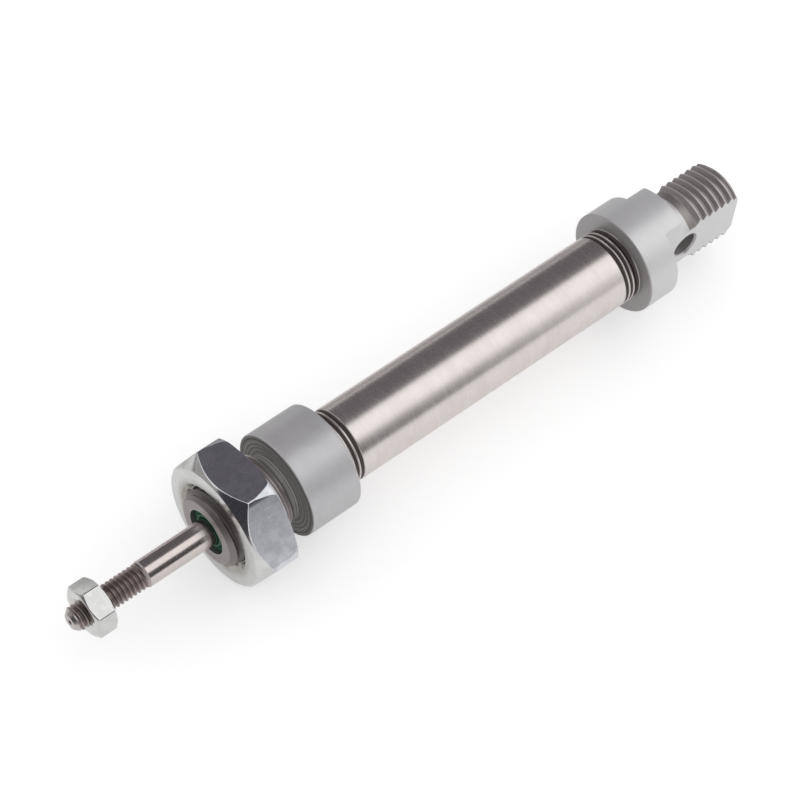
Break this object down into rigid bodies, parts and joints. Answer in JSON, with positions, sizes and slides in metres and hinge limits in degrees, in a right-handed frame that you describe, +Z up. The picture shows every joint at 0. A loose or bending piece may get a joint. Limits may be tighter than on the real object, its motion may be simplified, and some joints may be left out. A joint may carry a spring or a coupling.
{
  "type": "pneumatic cylinder",
  "caption": "Small round double-acting pneumatic cylinder: rolled steel barrel, light-metal caps, threaded spigots with hex nut, rear pivot eye and threaded piston rod.",
  "frame": {"origin": "centre of the front mounting face, where the threaded front spigot starts", "axes": "+X along the cylinder towards the rod's thread, Y along the rear eye's hole, +Z up, away from the ports"},
  "size_m": [0.1174, 0.0218, 0.0198],
  "materials": {
    "stainless_barrel": "fine circumferential polish",
    "anodised_cap": "satin anodised, turned",
    "polished_rod": "ground and polished",
    "zinc_plated_nut": "bright zinc plate",
    "sintered_bronze": "sintered, oil filled",
    "green_seal": "smooth moulded",
    "black_rubber": "smooth moulded",
    "piston_alloy": "turned",
    "guide_plastic": "moulded",
    "magnet": "bonded magnet, dull"
  },
  "bodies": {
    "barrel": {"barrel_tube": "stainless_barrel", "front_cap": "anodised_cap", "rear_cap": "anodised_cap", "rod_bush": "sintered_bronze", "rod_seal": "green_seal", "front_tube_seal": "black_rubber", "rear_tube_seal": "black_rubber", "front_buffer": "black_rubber", "rear_buffer": "black_rubber"},
    "piston_seals": {"front_piston_seal": "black_rubber", "rear_piston_seal": "black_rubber", "guide_ring": "guide_plastic"},
    "rod": {"piston_rod": "polished_rod", "front_piston_half": "piston_alloy", "rear_piston_half": "piston_alloy", "magnet_ring": "magnet", "magnet_washer": "black_rubber", "piston_rod_seal": "black_rubber"},
    "mounting_nut": {"mounting_nut": "zinc_plated_nut"},
    "rod_nut": {"rod_nut": "zinc_plated_nut"}
  },
  "joints": [
    {"name": "rod_stroke", "type": "slide", "parent": "barrel", "child": "piston_seals", "axis": [1, 0, 0], "range_m": [-0.0064, 0.0186]},
    {"name": "rod_turn", "type": "hinge", "parent": "piston_seals", "child": "rod", "pos_m": [0, 0, 0], "axis": [1, 0, 0], "continuous": true},
    {"name": "mounting_nut_travel", "type": "slide", "parent": "barrel", "child": "mounting_nut", "axis": [1, 0, 0], "range_m": [-0.00428, 0.0079]},
    {"name": "rod_nut_travel", "type": "slide", "parent": "rod", "child": "rod_nut", "axis": [1, 0, 0], "range_m": [-0.0062, 0.0053]}
  ]
}
